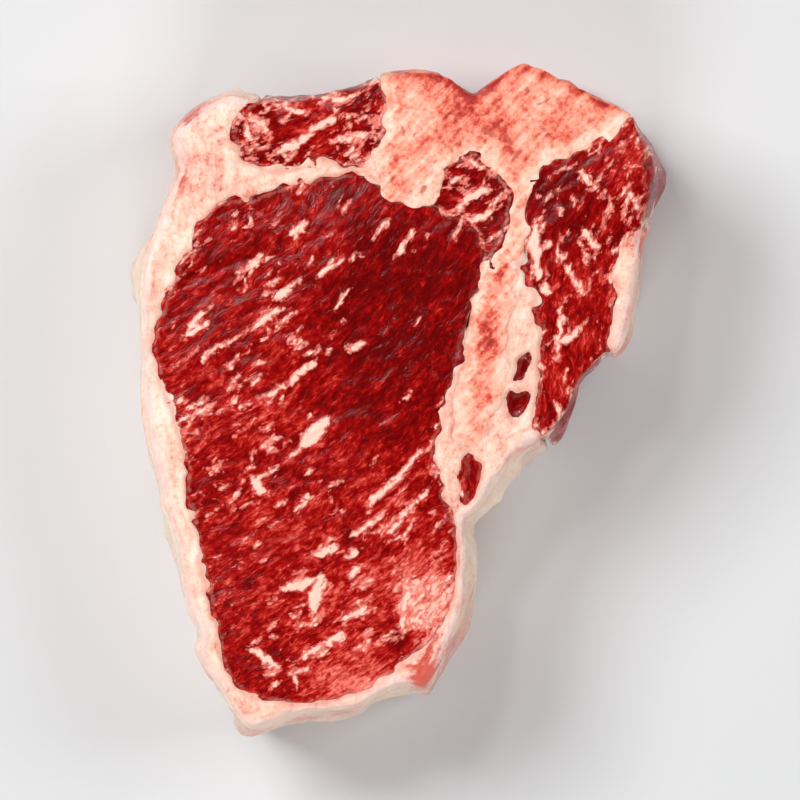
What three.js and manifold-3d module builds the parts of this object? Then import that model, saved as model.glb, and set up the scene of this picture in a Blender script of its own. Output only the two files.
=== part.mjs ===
// A raw lamb loin chop, lying on its lower cut face. Sizes are in millimetres and +Z is up.
// The chop is one slice across the saddle: a sawn backbone with its side process, the loin eye
// on one side of it and the fillet on the other, small muscles in the corners, and fat round all.
// Every piece runs through the whole slice, from one cut face to the other.
import * as THREE from "three";
import { mergeVertices } from "three/addons/utils/BufferGeometryUtils.js";
import Module from "manifold-3d";

// Driving dimensions
const CHOP_WIDTH = 61;
const CHOP_LENGTH = 77;
const THICKNESS = 25;
const SEAM = 0.3; // clearance between neighbouring pieces

// The outlines are drawn on a chop of this size and then scaled to the driving dimensions
const DRAWN_WIDTH = 61;
const DRAWN_LENGTH = 77;

// Outlines on the cut face, counter-clockwise, with X to the fillet side and Y to the backbone.
// Where an outline runs past the chop's own edge, the edge cuts it off.
const CHOP_EDGE = [
  [-26.5, 32.0], [-27.2, 30.0], [-26.2, 27.4], [-27.1, 24.9], [-29.2, 19.6],
  [-30.4, 16.4], [-30.6, 6.0], [-30.4, -3.1], [-28.4, -11.2], [-26.2, -19.6], [-24.9, -25.2],
  [-24.0, -27.0], [-24.6, -28.8], [-21.3, -33.8], [-17.9, -38.3], [-12.1, -37.0], [-4.9, -36.0],
  [-2.7, -34.5], [1.2, -33.6], [2.8, -34.1], [4.9, -31.4], [7.2, -25.5], [8.1, -18.5],
  [7.9, -14.6], [9.4, -12.9], [11.3, -9.8], [13.6, -6.9], [17.2, -4.6], [19.6, -1.4],
  [21.2, 2.2], [22.8, 3.6], [24.0, 4.9], [25.2, 4.9], [26.5, 6.8], [27.6, 11.3], [28.9, 19.7],
  [30.4, 26.3], [27.7, 31.9], [19.3, 36.3], [13.7, 38.4], [10.4, 36.5], [8.4, 35.2],
  [6.4, 36.4], [3.2, 37.9], [-1.0, 37.7], [-6.5, 36.5], [-10.3, 35.3], [-17.8, 35.6],
  [-20.2, 36.0], [-24.6, 33.7],
];
const BONE = [
  [-2.1, 36.4], [-1.5, 34.4], [-1.8, 31.6], [-2.2, 28.6], [-2.3, 25.6], [-1.2, 23.6],
  [1.2, 22.9], [3.7, 22.8], [4.1, 25.0], [5.4, 27.4], [8.3, 28.7], [10.9, 27.0],
  [12.4, 24.0], [12.4, 21.0], [11.2, 17.6], [9.3, 14.4], [8.2, 11.2], [7.5, 7.0],
  [7.1, 2.4], [6.5, -2.0], [6.7, -5.2], [7.9, -5.8], [9.4, -3.4], [11.0, 0.0],
  [11.9, 4.0], [12.3, 8.9], [13.0, 14.0], [13.9, 19.0], [14.1, 23.0], [14.9, 25.9],
  [17.8, 27.9], [21.6, 29.5], [25.2, 31.8], [27.6, 35.0], [18.0, 42.0], [-1.5, 42.0],
];
const LOIN_EYE = [
  [-21.7, 22.1], [-23.4, 18.0], [-26.4, 12.6], [-28.1, 7.9], [-28.2, 4.4], [-26.6, -0.4],
  [-25.1, -5.6], [-24.1, -12.3], [-22.7, -19.6], [-21.6, -24.6], [-20.7, -29.5],
  [-18.9, -32.7], [-16.1, -34.2], [-12.1, -35.0], [-8.2, -34.5], [-3.5, -32.9],
  [0.8, -30.1], [3.7, -26.7], [5.8, -22.9], [6.4, -19.0], [6.1, -15.6], [4.7, -10.4],
  [3.4, -6.3], [4.8, -2.0], [6.2, 2.8], [6.7, 6.6], [7.6, 10.1], [8.9, 12.9], [9.5, 16.6],
  [8.8, 18.9], [7.1, 20.3], [3.8, 22.0], [0.9, 23.1], [-2.0, 24.2], [-2.9, 25.5],
  [-5.4, 26.0], [-9.2, 25.4], [-13.2, 24.3], [-17.0, 23.3],
];
const FILLET = [
  [14.6, 24.2], [14.2, 21.4], [14.1, 18.4], [14.5, 14.4], [15.7, 11.9], [16.1, 7.5],
  [15.9, 1.8], [15.5, -1.6], [16.0, -4.0], [17.4, -6.6], [22.4, -3.0], [25.6, 2.0],
  [23.9, 5.6], [24.1, 8.6], [24.6, 12.4], [24.5, 15.9], [26.0, 18.6], [29.2, 20.9], [34.0, 22.0],
  [34.0, 34.8], [28.2, 35.6], [25.2, 32.8], [21.6, 30.6], [17.6, 29.0], [14.6, 27.0],
];
const FLAP_OF_FAT = [
  [23.9, 5.6], [25.6, 2.0], [30.6, 5.0], [34.0, 14.0], [34.0, 24.0], [28.0, 21.0], [25.0, 18.6],
  [23.4, 15.9], [23.4, 12.4], [23.2, 8.6],
];
const BACK_STRIP = [
  [-18.2, 33.2], [-18.9, 30.4], [-18.5, 27.8], [-15.4, 26.8], [-12.2, 26.9], [-9.7, 28.0],
  [-6.7, 27.4], [-3.7, 27.2], [-2.4, 29.4], [-2.1, 32.0], [-1.7, 34.2], [-2.1, 36.6],
  [-2.6, 41.0], [-10.0, 40.0], [-14.6, 36.2], [-16.6, 34.6],
];
const NOTCH_MUSCLE = [
  [3.6, 24.8], [3.4, 22.6], [6.0, 20.9], [9.0, 18.4], [10.2, 14.6], [12.0, 17.6],
  [13.0, 21.0], [13.0, 24.2], [11.4, 27.4], [8.3, 29.2], [5.2, 28.2], [3.9, 26.8],
];
const FLANK_SLIVER = [
  [7.9, -6.5], [7.5, -8.2], [7.3, -10.2], [7.5, -11.8], [8.2, -11.0], [8.7, -8.8],
  [8.8, -6.8],
];
const LOWER_NODULE = [
  [11.9, 0.0], [12.1, -1.0], [12.9, -2.3], [13.8, -1.4], [14.6, 0.2], [14.0, 1.1],
  [13.1, 0.5], [12.5, 0.7],
];
const UPPER_NODULE = [
  [13.1, 2.2], [13.6, 2.3], [14.5, 4.2], [14.4, 5.0], [13.8, 4.6],
];

// Spacing of points round each outline, and of the grid on the upper cut face
const EDGE_STEP = 1.1;
const MUSCLE_STEP = 1.4;
const NODULE_STEP = 0.5;
const FACE_STEP = 2.6;

// How the chop's edge runs between its cut faces: height as a share of the thickness, the share
// of the rounding that is taken in there, and the share of the bulge that stands out
const SIDE_PROFILE = [
  { height: 0.0, rounding: 1.0, bulge: 0.0 },
  { height: 0.035, rounding: 0.35, bulge: 0.1 },
  { height: 0.12, rounding: 0.0, bulge: 0.7 },
  { height: 0.34, rounding: 0.0, bulge: 1.0 },
  { height: 0.62, rounding: 0.0, bulge: 0.75 },
  { height: 0.86, rounding: 0.0, bulge: 0.25 },
  { height: 0.97, rounding: 0.3, bulge: 0.05 },
  { height: 1.06, rounding: 1.1, bulge: 0.0 },
];
const SOFT_ROUNDING = 0.8; // of fat and lean at the cut faces
const SAWN_ROUNDING = 0.15; // of bone, which the saw leaves sharp
const SAWN_BLEND = { soft: -2.5, sawn: 0.5 }; // depth inside the bone's outline, from soft to sharp
const FAT_BULGE = 0.45;
const FILLET_BULGE = 1.1;
const FILLET_SIDE = { x: 30, y: 24, reach: 13 }; // where the fillet swells out of the side

// The upper cut face: the saw left it a little uneven and out of level
const RISE_TO_BACKBONE = 0.9; // over the whole length
const WAVE = { height: 0.22, lengthX: 23, lengthY: 27, phase: 1 };
const SWELL_REACH = 3.2; // how far in from its own edge a piece reaches its full height

const CUTTER_SPARE = 5; // how far cutting solids reach past what they cut
const WELD = 1e-4; // points closer than this are one point

// The pieces in cutting order. Lift is how far a piece's cut face stands above the mean face,
// and swell how much higher its middle is than its rim.
const FAT = { name: "fat", colour: 0xf3d3c2, roughness: 0.45, lift: 0.1, swell: 0 };
const LEAN = { step: MUSCLE_STEP, roughness: 0.38, lift: -0.1 };
const SCRAP_OF_LEAN = { step: NODULE_STEP, roughness: 0.38, lift: -0.2, swell: 0 };
const PIECES = [
  { name: "t_bone", outline: BONE, step: MUSCLE_STEP, colour: 0xe9a58c, roughness: 0.5, lift: 0.3, swell: 0 },
  { ...LEAN, name: "loin_eye", outline: LOIN_EYE, colour: 0xa01418, swell: 0.7 },
  { ...LEAN, name: "fillet", outline: FILLET, colour: 0xa8171a, swell: 0.6 },
  { ...FAT, name: "flap_of_fat", outline: FLAP_OF_FAT, step: MUSCLE_STEP },
  { ...LEAN, name: "back_strip", outline: BACK_STRIP, colour: 0x971a1a, swell: 0.3 },
  { ...LEAN, name: "notch_muscle", outline: NOTCH_MUSCLE, colour: 0x86100f, swell: 0.25 },
  { ...SCRAP_OF_LEAN, name: "flank_sliver", outline: FLANK_SLIVER, colour: 0x8a1212 },
  { ...SCRAP_OF_LEAN, name: "lower_nodule", outline: LOWER_NODULE, colour: 0x6f0c10 },
  { ...SCRAP_OF_LEAN, name: "upper_nodule", outline: UPPER_NODULE, colour: 0x6f0c10 },
];

const wasm = await Module();
wasm.setup();

// A closed smooth line through the drawn points, sampled at even steps, without its last point
function smoothOutline(drawn, step) {
  const points = drawn.map(([x, y]) => new THREE.Vector3(
    x * CHOP_WIDTH / DRAWN_WIDTH,
    y * CHOP_LENGTH / DRAWN_LENGTH,
    0,
  ));
  const curve = new THREE.CatmullRomCurve3(points, true, "centripetal");
  const count = Math.ceil(curve.getLength() / step);
  return curve.getSpacedPoints(count).slice(0, count).map((p) => new THREE.Vector2(p.x, p.y));
}

// Unit vectors that point out of a counter-clockwise outline, one at each of its points
function outwardNormals(outline) {
  const count = outline.length;
  return outline.map((_, i) => {
    const before = outline[(i + count - 1) % count];
    const after = outline[(i + 1) % count];
    return new THREE.Vector2(after.y - before.y, before.x - after.x).normalize();
  });
}

function grown(outline, amount) {
  const normals = outwardNormals(outline);
  return outline.map((p, i) => p.clone().addScaledVector(normals[i], amount));
}

// Distance from a point to an outline, positive inside it
function depthInside(outline, x, y) {
  let nearest = Infinity;
  let inside = false;
  for (let i = 0; i < outline.length; i += 1) {
    const a = outline[i];
    const b = outline[(i + 1) % outline.length];
    const along = THREE.MathUtils.clamp(
      ((x - a.x) * (b.x - a.x) + (y - a.y) * (b.y - a.y)) / a.distanceToSquared(b),
      0,
      1,
    );
    const gap = Math.hypot(x - a.x - along * (b.x - a.x), y - a.y - along * (b.y - a.y));
    nearest = Math.min(nearest, gap);
    if ((a.y > y) !== (b.y > y) && x < a.x + (y - a.y) * (b.x - a.x) / (b.y - a.y)) inside = !inside;
  }
  return inside ? nearest : -nearest;
}

function toSolid(geometry) {
  const bare = geometry.clone();
  bare.deleteAttribute("normal");
  bare.deleteAttribute("uv");
  const merged = mergeVertices(bare, WELD);
  return new wasm.Manifold(new wasm.Mesh({
    numProp: 3,
    vertProperties: new Float32Array(merged.attributes.position.array),
    triVerts: new Uint32Array(merged.index.array),
  }));
}

function toGeometry(solid) {
  const mesh = solid.getMesh();
  const geometry = new THREE.BufferGeometry();
  geometry.setAttribute("position", new THREE.BufferAttribute(mesh.vertProperties, mesh.numProp));
  geometry.setIndex(new THREE.BufferAttribute(mesh.triVerts, 1));
  geometry.computeVertexNormals();
  return geometry;
}

// A straight prism over an outline, taller than the chop at both ends
function prism(outline) {
  const geometry = new THREE.ExtrudeGeometry(new THREE.Shape(outline), {
    depth: THICKNESS + 2 * CUTTER_SPARE,
    bevelEnabled: false,
  });
  geometry.translate(0, 0, -CUTTER_SPARE);
  return toSolid(geometry);
}

// Triangles that fill a ring whose points are numbered from first, seen from above
function lid(ring, first) {
  const flat = ring.map((p) => new THREE.Vector2(p.x, p.y));
  return THREE.ShapeUtils.triangulateShape(flat, []).map((corners) => corners.map((i) => first + i));
}

// A solid through rings of equal point counts, one above another, with flat ends
function loft(rings) {
  const count = rings[0].length;
  const positions = rings.flat().flatMap((p) => [p.x, p.y, p.z]);
  const index = [];
  for (let level = 0; level + 1 < rings.length; level += 1) {
    for (let i = 0; i < count; i += 1) {
      const a = level * count + i;
      const b = level * count + (i + 1) % count;
      index.push(a, b, b + count, a, b + count, a + count);
    }
  }
  for (const [a, b, c] of lid(rings[0], 0)) index.push(c, b, a);
  index.push(...lid(rings.at(-1), positions.length / 3 - count).flat());
  const geometry = new THREE.BufferGeometry();
  geometry.setAttribute("position", new THREE.Float32BufferAttribute(positions, 3));
  geometry.setIndex(index);
  return toSolid(geometry);
}

// The whole chop's body, with the swelling sides and rounded edges that its edge line gets
function chopBody(edge, bone) {
  const normals = outwardNormals(edge);
  const hardness = edge.map((p) => THREE.MathUtils.smoothstep(
    depthInside(bone, p.x, p.y),
    SAWN_BLEND.soft,
    SAWN_BLEND.sawn,
  ));
  const swelling = edge.map((p) => {
    const away = Math.hypot(p.x - FILLET_SIDE.x, p.y - FILLET_SIDE.y) / FILLET_SIDE.reach;
    return FAT_BULGE + (FILLET_BULGE - FAT_BULGE) * Math.exp(-away * away);
  });
  const rings = SIDE_PROFILE.map(({ height, rounding, bulge }) => edge.map((p, i) => {
    const cornerRadius = THREE.MathUtils.lerp(SOFT_ROUNDING, SAWN_ROUNDING, hardness[i]);
    const out = (bulge - 1) * swelling[i] * (1 - hardness[i]) - rounding * cornerRadius;
    return new THREE.Vector3(p.x + normals[i].x * out, p.y + normals[i].y * out, height * THICKNESS);
  }));
  return loft(rings);
}

// A block with a flat underside whose upper side is the cut face as one piece shows it
function faceBlock(outline, lift, swell) {
  const width = CHOP_WIDTH + 2 * CUTTER_SPARE;
  const length = CHOP_LENGTH + 2 * CUTTER_SPARE;
  const across = Math.round(width / FACE_STEP);
  const along = Math.round(length / FACE_STEP);
  const geometry = new THREE.BoxGeometry(width, length, THICKNESS, across, along, 1);
  geometry.translate(0, 0, THICKNESS / 2);
  const position = geometry.attributes.position;
  for (let i = 0; i < position.count; i += 1) {
    if (position.getZ(i) < THICKNESS / 2) continue;
    const x = position.getX(i);
    const y = position.getY(i);
    const wave = WAVE.height * Math.sin(2 * Math.PI * x / WAVE.lengthX + WAVE.phase)
      * Math.cos(2 * Math.PI * y / WAVE.lengthY);
    const depth = Math.max(depthInside(outline, x, y), 0);
    const crown = swell * (1 - Math.exp(-depth / SWELL_REACH));
    position.setZ(i, THICKNESS + RISE_TO_BACKBONE * y / CHOP_LENGTH + wave + lift + crown);
  }
  return toSolid(geometry);
}

// The largest of the bodies that cutting left, without loose scraps
function largestBody(solid) {
  return solid.decompose().reduce((largest, next) => (next.volume() > largest.volume() ? next : largest));
}

function material({ colour, roughness }) {
  return new THREE.MeshStandardMaterial({ color: colour, roughness, metalness: 0 });
}

const chop = new THREE.Group();
const edge = smoothOutline(CHOP_EDGE, EDGE_STEP);
const body = chopBody(edge, smoothOutline(BONE, MUSCLE_STEP));

function addNode(piece, solid) {
  const mesh = new THREE.Mesh(toGeometry(largestBody(solid)), material(piece));
  mesh.name = piece.name;
  chop.add(mesh);
}

// Each piece is cut from the body inside its outline and keeps clear of the pieces before it
const taken = [];
for (const piece of PIECES) {
  const outline = smoothOutline(piece.outline, piece.step);
  const slice = body.intersect(faceBlock(outline, piece.lift, piece.swell));
  addNode(piece, taken.reduce((left, other) => left.subtract(other), slice.intersect(prism(outline))));
  taken.push(prism(grown(outline, SEAM)));
}

// The fat fills what the other pieces leave
const slice = body.intersect(faceBlock(edge, FAT.lift, FAT.swell));
addNode(FAT, taken.reduce((left, other) => left.subtract(other), slice));

// The origin is under the middle of the chop, on the surface that it lies on
const whole = new THREE.Box3().setFromObject(chop);
const middle = whole.getCenter(new THREE.Vector3());
chop.position.set(-middle.x, -middle.y, -whole.min.z);

export default chop;
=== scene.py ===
# %% [markdown]
# # A raw lamb loin chop
# A loin chop is one slice sawn across the saddle of a lamb, so its two large faces are cuts
# straight through everything there: the split backbone with its side process, the loin eye on one
# side of it, the fillet on the other, small muscles in the corners and fat round all of them.
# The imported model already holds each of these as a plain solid. This file rebuilds them one by
# one as fine meshes in the same places, and gives each the finish of raw lean, fat or bone.

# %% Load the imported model
import functools
import math

import bpy
import numpy as np
from mathutils import Matrix, Vector
from mathutils.bvhtree import BVHTree


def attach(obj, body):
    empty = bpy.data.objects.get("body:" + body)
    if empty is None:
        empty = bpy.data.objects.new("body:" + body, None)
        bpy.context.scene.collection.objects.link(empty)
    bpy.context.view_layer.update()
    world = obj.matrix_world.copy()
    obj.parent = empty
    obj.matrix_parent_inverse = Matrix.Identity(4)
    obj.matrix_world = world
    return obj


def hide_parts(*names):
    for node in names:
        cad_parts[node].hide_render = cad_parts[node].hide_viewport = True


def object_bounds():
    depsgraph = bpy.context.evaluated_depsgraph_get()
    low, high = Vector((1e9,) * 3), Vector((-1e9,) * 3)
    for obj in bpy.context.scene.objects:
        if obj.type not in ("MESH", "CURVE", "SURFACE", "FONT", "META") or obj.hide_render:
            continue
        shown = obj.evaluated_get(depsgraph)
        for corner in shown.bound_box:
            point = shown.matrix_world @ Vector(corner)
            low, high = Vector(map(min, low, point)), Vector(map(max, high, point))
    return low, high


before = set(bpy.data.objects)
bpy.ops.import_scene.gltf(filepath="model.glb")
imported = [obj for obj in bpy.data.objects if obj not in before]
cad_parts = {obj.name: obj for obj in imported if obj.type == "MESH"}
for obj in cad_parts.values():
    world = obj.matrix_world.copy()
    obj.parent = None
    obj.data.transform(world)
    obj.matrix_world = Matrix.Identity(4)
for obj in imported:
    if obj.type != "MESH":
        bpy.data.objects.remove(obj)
cad_low, cad_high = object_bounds()
MM = 0.001
low = np.array(cad_low) / MM
high = np.array(cad_high) / MM
print("the chop is", np.round(high - low, 1), "mm")

# %% [markdown]
# ## A smooth random field
# Knife-straight seams give a model away: in meat every border between lean and fat strays by a
# few tenths of a millimetre. A smooth random field can do this. It depends only on the place, so
# two neighbours that both follow it still meet along one line.

# %% Soft noise
LATTICE = 32
# The lattice is turned off the axes, so that its rows don't show
TURN = np.linalg.qr(np.array([[1.0, 0.6, 0.3], [-0.5, 1.0, 0.4], [-0.2, -0.5, 1.0]]))[0]


def soft_noise(points, feature, seed):
    """A smooth random value from -1 to 1 at each point, with bumps about `feature` mm wide."""
    lattice = np.random.default_rng(seed).uniform(-1, 1, (LATTICE,) * 3)
    turned = points @ TURN
    cell = turned / np.asarray(feature)
    corner = np.floor(cell).astype(int)
    share = cell - corner
    share = share * share * (3 - 2 * share)
    total = np.zeros(len(points))
    for step in np.ndindex(2, 2, 2):
        weight = np.prod(np.where(step, share, 1 - share), axis=1)
        i, j, k = ((corner + step) % LATTICE).T
        total += weight * lattice[i, j, k]
    return total


# %% [markdown]
# ## From a plain solid to a distance field
# Each plain solid is cut by levels, as a butcher would slice it again. Every cut gives an
# outline, and for each point of a fine grid the distance to that outline says how deep in the
# piece the point lies. Distances are easy to work with: adding a little swells a piece, so it
# closes the gap to its neighbour, and a soft maximum of two distances rounds an edge.

# %% Slice a solid and measure distances
def cad_arrays(node):
    """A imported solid's corners, in mm, and its triangles."""
    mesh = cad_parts[node].data
    corners = np.empty(len(mesh.vertices) * 3)
    mesh.vertices.foreach_get("co", corners)
    mesh.calc_loop_triangles()
    triangles = np.empty(len(mesh.loop_triangles) * 3, int)
    mesh.loop_triangles.foreach_get("vertices", triangles)
    return corners.reshape(-1, 3) / MM, triangles.reshape(-1, 3)


def slice_lines(corners, triangles, height):
    """The lines, each a start and an end, along which one level cuts a solid."""
    above = corners[triangles][:, :, 2] > height
    crossed = above.any(1) & ~above.all(1)
    triangles, above = triangles[crossed], above[crossed]
    lone = np.where(above.sum(1) == 1, above.argmax(1), above.argmin(1))
    rows = np.arange(len(triangles))
    tip = corners[triangles[rows, lone]]
    ends = []
    for turn in (1, 2):
        other = corners[triangles[rows, (lone + turn) % 3]]
        share = (height - tip[:, 2]) / (other[:, 2] - tip[:, 2])
        ends.append(tip + (other - tip) * share[:, None])
    return np.stack(ends, axis=1)[:, :, :2]


def signed_distance(points, lines):
    """Distance in mm from each point to the nearest line, negative inside their outline."""
    x, y = points.T
    nearest = np.full(len(points), np.inf)
    inside = np.zeros(len(points), bool)
    for (ax, ay), (bx, by) in lines:
        dx, dy = bx - ax, by - ay
        along = np.clip(((x - ax) * dx + (y - ay) * dy) / max(dx * dx + dy * dy, 1e-12), 0, 1)
        nearest = np.minimum(nearest, (x - ax - along * dx) ** 2 + (y - ay - along * dy) ** 2)
        if dy:
            inside ^= ((ay > y) != (by > y)) & (x < ax + (y - ay) * dx / dy)
    return np.where(inside, -1, 1) * np.sqrt(nearest)


# %% The grid
GRID = 0.26
MARGIN = 2.6
THICKNESS = high[2]
columns_x = np.arange(low[0] - MARGIN, high[0] + MARGIN, GRID)
columns_y = np.arange(low[1] - MARGIN, high[1] + MARGIN, GRID)
# Levels are close together near the cut faces and further apart between them
MIDDLE_STEP = 0.7
UNEVEN = 1.9  # the upper face isn't level, so this much more of the top is finely sliced
lowest = np.cumsum([GRID, GRID, GRID, GRID, GRID * 1.4, GRID * 1.9, GRID * 2.5])
middle_count = round((THICKNESS - 2 * lowest[-1]) / MIDDLE_STEP)
fine_from = THICKNESS - lowest[-1] - UNEVEN
levels = np.concatenate([
    [-3 * GRID, -2 * GRID, -GRID, -0.02],
    lowest,
    np.linspace(lowest[-1], fine_from, middle_count + 1)[1:-1],
    np.arange(fine_from, THICKNESS + 3 * GRID, GRID),
])
print("grid", len(columns_x), "by", len(columns_y), "by", len(levels))

# %% The height of the upper cut face
CUT_HEIGHTS = [0.05, 0.9, 3.0, 6.0, 9.5, 13.0, 16.5, 19.5, 22.0, 24.0]
SOLIDS = {node: cad_arrays(node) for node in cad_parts}


def blur(image, reach):
    """An image smoothed over `reach` grid steps each way."""
    ramp = np.arange(-2 * reach, 2 * reach + 1) / reach
    kernel = np.exp(-ramp * ramp)
    for axis in (0, 1):
        image = np.apply_along_axis(np.convolve, axis, image, kernel / kernel.sum(), "same")
    return image


def height_map():
    """The upper cut face's height over each grid column, carried on past the chop's edge."""
    trees = [BVHTree.FromPolygons(c.tolist(), t.tolist()) for c, t in SOLIDS.values()]
    found = np.zeros((len(columns_x), len(columns_y)))
    known = np.zeros_like(found)
    for i in range(0, len(columns_x), RAY_STEP):
        for j in range(0, len(columns_y), RAY_STEP):
            start = (columns_x[i], columns_y[j], 2 * THICKNESS)
            hits = [tree.ray_cast(start, (0, 0, -1))[0] for tree in trees]
            tops = [hit.z for hit in hits if hit and hit.z > LOWEST_TOP]
            if tops:
                found[i, j], known[i, j] = max(tops), 1
    share, total = blur(known, NEAR_BLUR), blur(found, NEAR_BLUR)
    for reach in FAR_BLURS:
        weak = share < ENOUGH_RAYS
        share = np.where(weak, blur(known, reach), share)
        total = np.where(weak, blur(found, reach), total)
    return total / np.maximum(share, 1e-9)


RAY_STEP = 3  # a ray for every third column, because the plain face is smooth
LOWEST_TOP = 23.8  # what lies lower is on the rounded rim
NEAR_BLUR = 4
FAR_BLURS = (10, 24)
ENOUGH_RAYS = 0.03
top_map = height_map()
print("cut face from", top_map.min().round(2), "to", top_map.max().round(2), "mm")


# %% Borders
SEAM_REACH = 0.45  # lines of two solids that are closer than this are a seam between them
BORDER_LEVEL = 12.0


def borders(node):
    """A solid's lines on one level: those it shares with others, and those on the outside."""
    sliced = {each: slice_lines(*SOLIDS[each], BORDER_LEVEL) for each in SOLIDS}
    lines = sliced.pop(node)
    away = np.abs(signed_distance(lines.mean(axis=1), np.concatenate(list(sliced.values()))))
    return lines[away < SEAM_REACH], lines[away >= SEAM_REACH]


def distance_to(points, lines):
    """Distance in mm from each point to the nearest of some lines, however they lie."""
    if len(lines) == 0:
        return np.full(len(points), FAR)
    return np.abs(signed_distance(points, lines))


FAR = 20.0
BORDERS = {node: borders(node) for node in SOLIDS}
OUTSIDE = np.concatenate([outside for _, outside in BORDERS.values()])
print(len(OUTSIDE), "lines round the outside")

# %% [markdown]
# ## How the borders stray
# Seams are torn a little, but the outside was trimmed with a knife, so it strays less. Below the
# upper face both drift slowly and the outside folds softly, as no two slices are quite the same.

# %% Stray from the plain solids
all_columns = np.stack(np.meshgrid(columns_x, columns_y, indexing="ij"), axis=-1).reshape(-1, 2)
outside_map = distance_to(all_columns, OUTSIDE).reshape(len(columns_x), len(columns_y))
SWAY = 0.24  # how far, in mm, borders sway over a few mm
TORN = 0.38  # how far seams are torn, over about one mm
TRIMMED = 0.12  # the same on the outside
TRIM_BAND = 1.6
DRIFT = 0.9  # how far everything drifts below the cut
FOLD = 0.5  # how far it folds there
TUCK = 0.4  # how far the outside draws in there
DRIFT_DEPTH = 8.0  # how far down the drift reaches its full size


def outside_distance(points):
    """Distance in mm from each point to the outside, looked up on the grid."""
    i = np.clip(np.rint((points[:, 0] - columns_x[0]) / GRID).astype(int), 0, len(columns_x) - 1)
    j = np.clip(np.rint((points[:, 1] - columns_y[0]) / GRID).astype(int), 0, len(columns_y) - 1)
    return outside_map[i, j]


def wander(points):
    """How far each point strays sideways, in mm."""
    torn = TORN - (TORN - TRIMMED) * np.exp(-(outside_distance(points) / TRIM_BAND) ** 2)
    depth = np.clip((THICKNESS - points[:, 2]) / DRIFT_DEPTH, 0, 1)
    strays = []
    for seed in (0, 1):
        slow = SWAY * soft_noise(points, 4.0, 11 + seed)
        fast = torn * soft_noise(points, (1.3, 1.3, 5.0), 13 + seed)
        drift = DRIFT * soft_noise(points, (11.0, 11.0, 9.0), 15 + seed)
        fold = FOLD * soft_noise(points, 5.0, 17 + seed)
        strays.append(slow + fast + depth * (drift + fold))
    return np.column_stack(strays)


# %% [markdown]
# ## From a distance field to a mesh
# A surface net puts one point in each grid cell that the surface passes through, at the mean of
# its crossings, and joins the points of neighbouring cells by quads. It gives even faces and
# soft edges, which suits meat better than the sharp triangles of a marching method.

# %% Surface net
def surface_net(field, axes):
    """Points and quads of the surface where the field, sampled on the axes, passes zero."""
    cells = np.array(field.shape) - 1
    sums = np.zeros((cells.prod(), 3))
    counts = np.zeros(cells.prod())
    quads = []
    unit = np.eye(3, dtype=int)
    for axis in range(3):
        start = np.argwhere(np.diff(field < 0, axis=axis))
        before = field[tuple(start.T)]
        after = field[tuple((start + unit[axis]).T)]
        place = np.column_stack([axes[k][start[:, k]] for k in range(3)])
        step = np.diff(axes[axis])[start[:, axis]]
        place[:, axis] += step * before / (before - after)
        u, v = unit[(axis + 1) % 3], unit[(axis + 2) % 3]
        ring = [start, start - u, start - u - v, start - v]
        ring = np.column_stack([np.ravel_multi_index(tuple(c.T), cells) for c in ring])
        for column in ring.T:
            counts += np.bincount(column, minlength=len(counts))
            for k in range(3):
                sums[:, k] += np.bincount(column, place[:, k], len(counts))
        quads.append(np.where((before < 0)[:, None], ring, ring[:, ::-1]))
    used = np.flatnonzero(counts)
    number = np.zeros(len(counts), int)
    number[used] = np.arange(len(used))
    return sums[used] / counts[used, None], number[np.concatenate(quads)]


def soft_max(a, b, reach):
    """The larger of two distances, rounded over `reach` mm where they meet."""
    near = np.maximum(reach - np.abs(a - b), 0) / reach
    return np.maximum(a, b) + near * near * reach / 4


# %% Carve a piece
RIM_LEAN_IN = 1.8  # the rim leans in this many times faster above the highest cut
OUTER_CLOSE = 0.22  # how far each piece grows at the outside, and into the gaps there
SEAM_ROUNDING = 0.1  # a seam is tight, and only edges on the outside are rounded
OUTER_BAND = 1.5
SINK_BAND = 0.3  # how far inside its own border a piece starts to sink under its neighbours


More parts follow.
